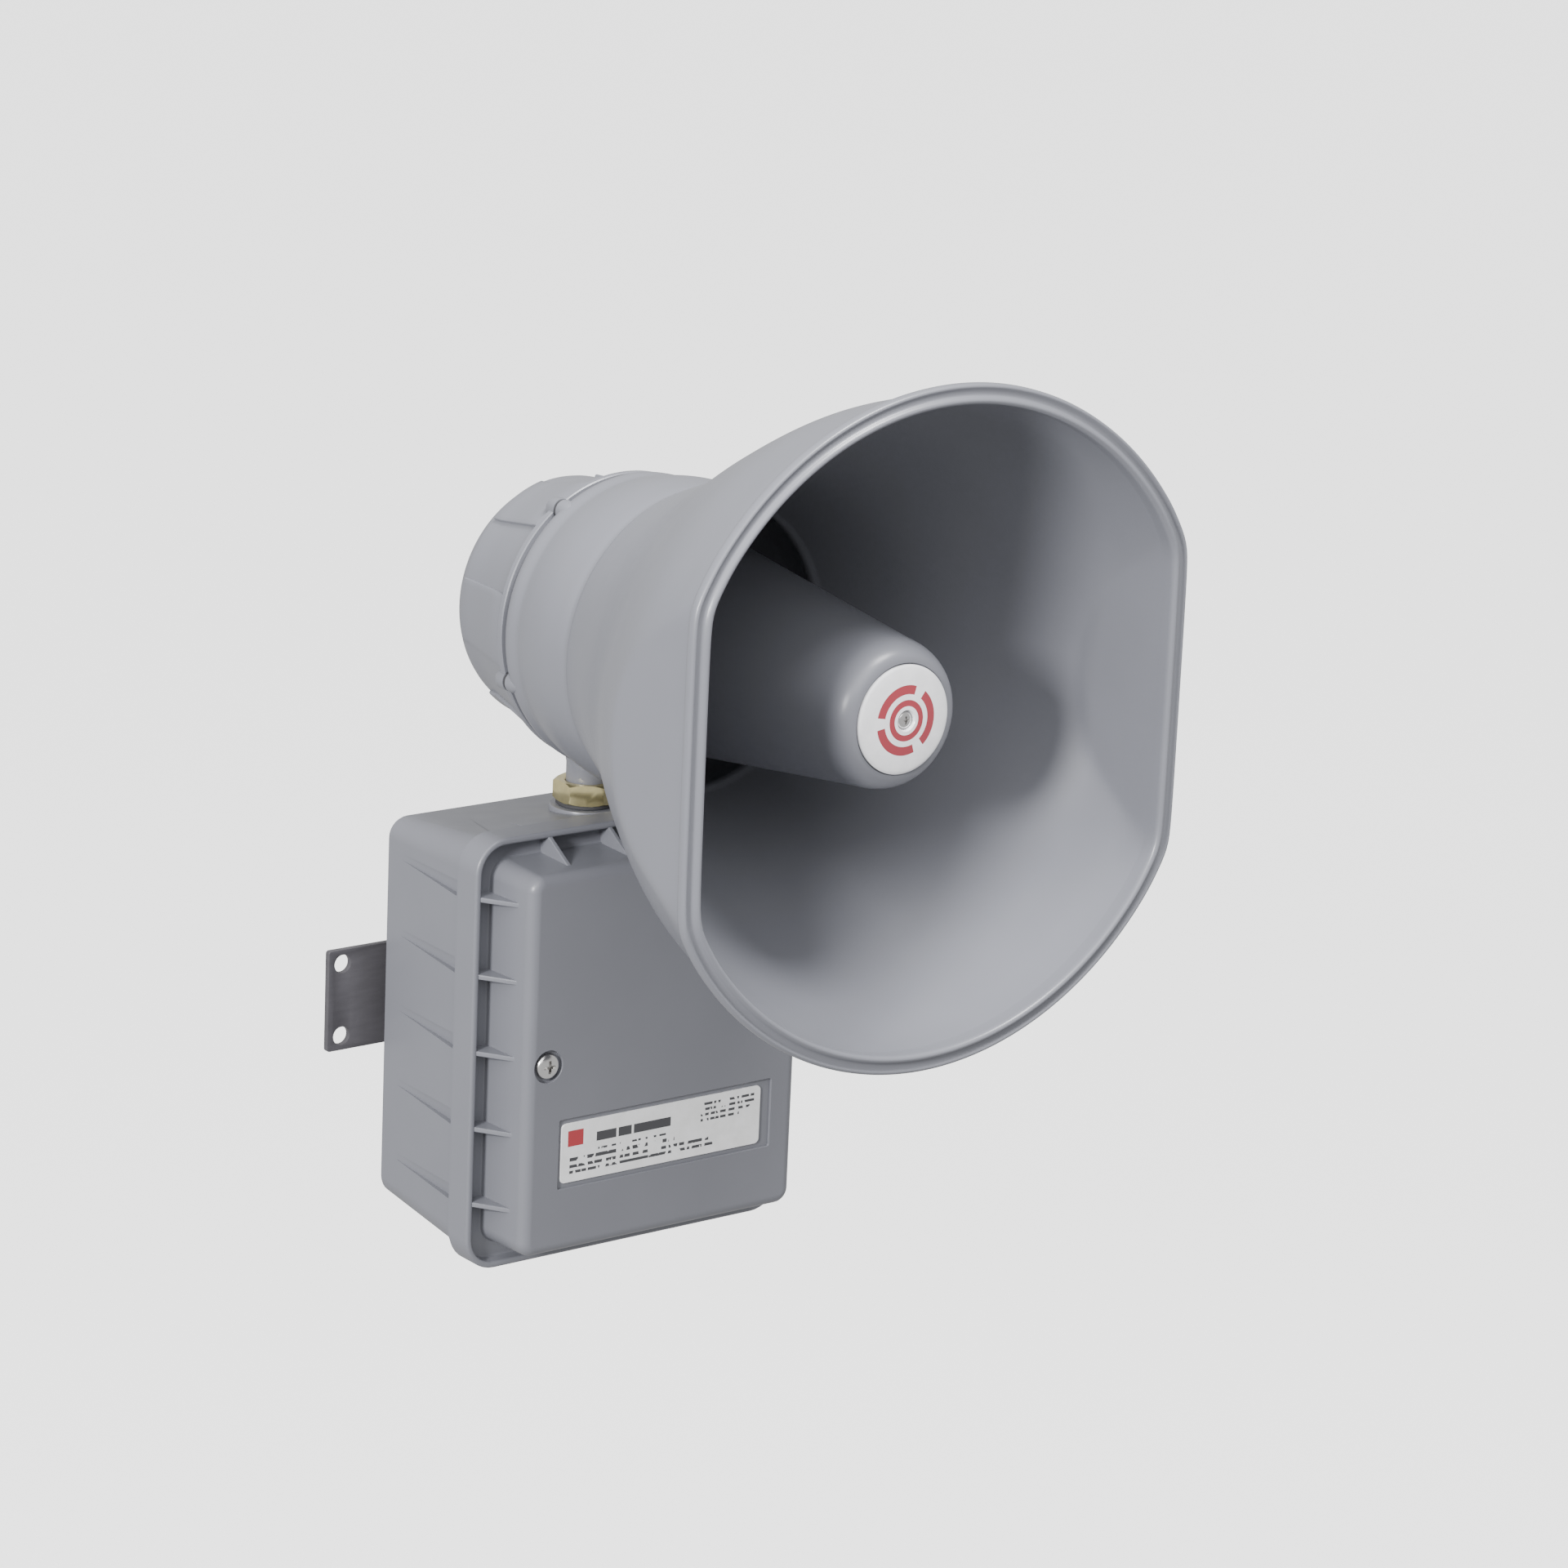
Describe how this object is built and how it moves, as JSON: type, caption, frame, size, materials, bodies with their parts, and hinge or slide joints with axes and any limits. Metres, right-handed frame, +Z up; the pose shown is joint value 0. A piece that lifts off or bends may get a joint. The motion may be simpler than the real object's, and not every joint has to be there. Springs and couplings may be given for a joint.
{
  "type": "amplified horn sounder",
  "caption": "Weatherproof re-entrant horn with flat-sided bell, on a swivel neck above a flanged amplifier box with ribbed cover and a hat-section wall strip.",
  "frame": {"origin": "middle of the wall plane, at the centre of the bracket's four wall holes", "axes": "+Z up, +Y into the wall, horn mouth faces -Y, +X to the right seen from the front"},
  "size_m": [0.2176, 0.2587, 0.362],
  "materials": {
    "grey_moulding": "satin moulded, fine texture",
    "dark_moulding": "satin moulded",
    "zinc_casting": "satin",
    "bracket_steel": "dark grey, low sheen",
    "steel_screws": "bright zinc plate",
    "seal_rubber": "matt",
    "label_film": null,
    "yellow_zinc": "yellow zinc plate",
    "medallion_white": "glossy domed disc",
    "zinc_plated_steel": "zinc plate",
    "ferrite": "matt dark grey",
    "black_plastic": "matt",
    "phenolic_cloth": "resin-stiffened cloth",
    "copper_wire": "enamelled copper",
    "brass_tabs": "bright",
    "board_green": "solder mask",
    "core_laminations": "stacked laminations",
    "winding_tape": "taped winding",
    "capacitor_sleeve": "shrink sleeve",
    "black_aluminium": "black anodised",
    "terminal_green": "moulded",
    "blue_plastic": "moulded",
    "white_plastic": "moulded",
    "red_plastic": "moulded",
    "fuse_glass": "clear",
    "green_screw": "green",
    "black_lead": "matt sheath"
  },
  "bodies": {
    "enclosure": {"enclosure_tub": "grey_moulding", "conduit_hub": "zinc_casting", "wall_bracket": "bracket_steel", "bracket_screws": "steel_screws", "cover_gasket": "seal_rubber", "neck_seal": "seal_rubber", "amplifier_board": "board_green", "board_standoffs": "brass_tabs", "board_screws": "steel_screws", "transformer_core": "core_laminations", "transformer_winding": "winding_tape", "transformer_frame": "zinc_plated_steel", "capacitors": "capacitor_sleeve", "heat_sink": "black_aluminium", "power_transistors": "black_plastic", "terminal_block": "terminal_green", "terminal_screws": "steel_screws", "gain_control": "blue_plastic", "tone_socket": "black_plastic", "fuse_clips": "brass_tabs", "fuse_link": "fuse_glass", "ground_screw": "green_screw", "speaker_lead_lower": "black_lead"},
    "cover": {"cover": "grey_moulding", "label_plate": "label_film", "cover_screws": "steel_screws"},
    "horn": {"rear_housing": "grey_moulding", "seam_screws": "steel_screws", "seam_gasket": "seal_rubber", "horn_bell": "grey_moulding", "throat_plate": "dark_moulding", "reflector_cone": "grey_moulding", "tone_tube": "dark_moulding", "medallion": "medallion_white", "medallion_screw": "steel_screws", "driver_back_plate": "zinc_plated_steel", "driver_magnet": "ferrite", "driver_top_plate": "zinc_plated_steel", "diaphragm_carrier": "black_plastic", "phase_plug": "black_plastic", "driver_front": "black_plastic", "driver_screws": "steel_screws", "driver_terminals": "brass_tabs", "speaker_lead_upper": "black_lead"},
    "locknut": {"locknut": "yellow_zinc"},
    "diaphragm": {"diaphragm": "phenolic_cloth", "voice_coil": "copper_wire"},
    "gain_knob": {"gain_knob": "white_plastic"},
    "tone_module": {"tone_module": "board_green", "tone_switches": "red_plastic"}
  },
  "joints": [
    {"name": "horn_swivel", "type": "hinge", "parent": "enclosure", "child": "horn", "pos_m": [0, -0.049, 0.085], "axis": [0, 0, 1], "range_deg": [-70, 70]},
    {"name": "cover_release", "type": "slide", "parent": "enclosure", "child": "cover", "axis": [0, -1, 0], "range_m": [0, 0.03]},
    {"name": "locknut_turn", "type": "hinge", "parent": "enclosure", "child": "locknut", "pos_m": [0, -0.049, 0.084], "axis": [0, 0, 1], "range_deg": [0, 120]},
    {"name": "gain_turn", "type": "hinge", "parent": "enclosure", "child": "gain_knob", "pos_m": [0.039, -0.04, 0.0005], "axis": [0, 1, 0], "range_deg": [0, 270]},
    {"name": "tone_module_pull", "type": "slide", "parent": "enclosure", "child": "tone_module", "axis": [0, -1, 0], "range_m": [0, 0.008]},
    {"name": "diaphragm_stroke", "type": "slide", "parent": "horn", "child": "diaphragm", "axis": [0, -1, 0], "range_m": [-0.0003, 0.0003], "stiffness_N_per_m": 3000}
  ]
}
